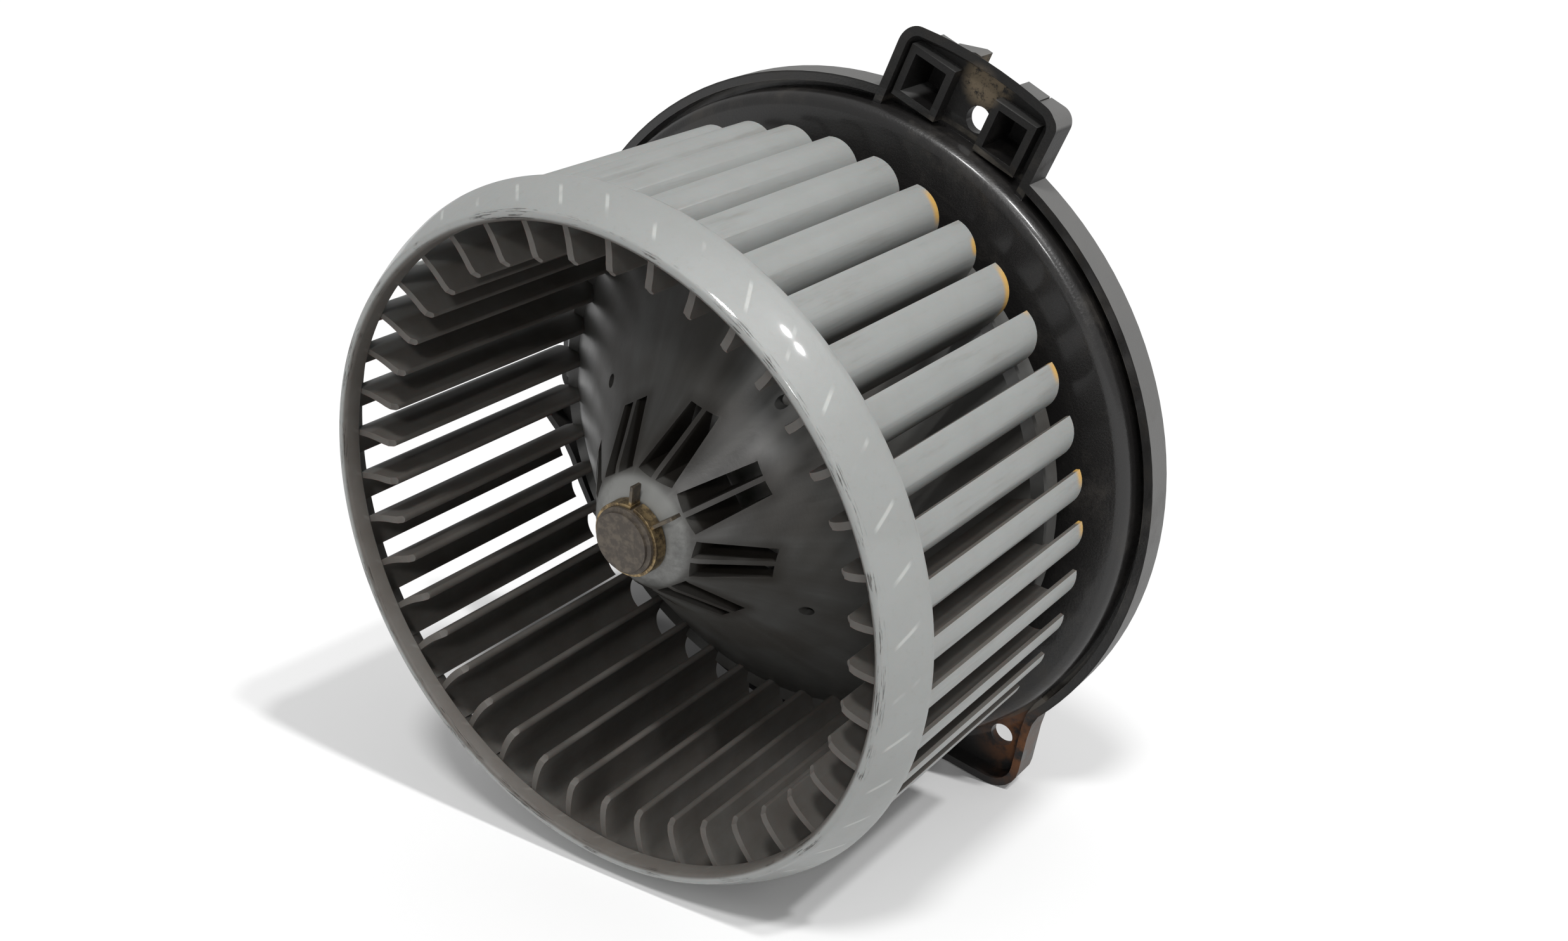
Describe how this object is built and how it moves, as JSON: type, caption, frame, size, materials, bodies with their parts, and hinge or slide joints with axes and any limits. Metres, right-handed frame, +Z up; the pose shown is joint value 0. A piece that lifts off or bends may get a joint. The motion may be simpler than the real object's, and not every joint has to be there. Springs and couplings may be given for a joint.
{
  "type": "blower motor wheel",
  "caption": "Squirrel-cage blower wheel on the shaft of a small DC motor, held by a round flange with three fixing ears and a rear cover with a plug shell.",
  "frame": {"origin": "on the spin axis, in the plane where the fixing ears sit", "axes": "+Y runs along the spin axis from the intake to the flange, +Z is up, +X is right when looking into the intake"},
  "size_m": [0.1861, 0.1265, 0.186],
  "materials": {
    "flange_plastic": "satin",
    "wheel_plastic": "satin",
    "hub_plastic": "satin",
    "clamp_steel": "satin",
    "zinc_steel": "satin",
    "screw_steel": "satin",
    "shaft_steel": "satin",
    "core_steel": "matte",
    "winding_enamel": "gloss",
    "moulding_brown": "matte",
    "copper": "satin",
    "washer_plastic": "matte",
    "ferrite": "matte",
    "spring_steel": "satin",
    "bush_bronze": "matte",
    "brass": "satin",
    "carbon": "matte",
    "rubber": "matte"
  },
  "bodies": {
    "stator": {"mounting_flange": "flange_plastic", "motor_yoke": "zinc_steel", "field_magnets": "ferrite", "magnet_springs": "spring_steel", "front_bearing": "bush_bronze", "rear_bearing": "bush_bronze", "bearing_retainers": "spring_steel", "end_bracket": "zinc_steel", "bracket_screws": "screw_steel", "brush_plate": "moulding_brown", "brush_boxes": "brass", "brush_left": "carbon", "brush_right": "carbon", "brush_spring_left": "spring_steel", "brush_spring_right": "spring_steel", "brush_leads": "copper", "choke_coils": "winding_enamel", "terminals": "brass", "front_rubber_ring": "rubber", "rear_rubber_ring": "rubber", "cover_rubber_ring": "rubber", "rear_cover": "flange_plastic", "cover_screws": "screw_steel"},
    "rotor": {"fan_ring": "wheel_plastic", "fan_blades": "wheel_plastic", "fan_hub": "hub_plastic", "hub_clamp": "clamp_steel", "motor_shaft": "shaft_steel", "armature_core": "core_steel", "armature_windings": "winding_enamel", "commutator_hub": "moulding_brown", "commutator_bars": "copper", "thrust_washers": "washer_plastic"}
  },
  "joints": [
    {"name": "wheel_spin", "type": "hinge", "parent": "stator", "child": "rotor", "pos_m": [0, 0, 0], "axis": [0, 1, 0], "continuous": true}
  ]
}
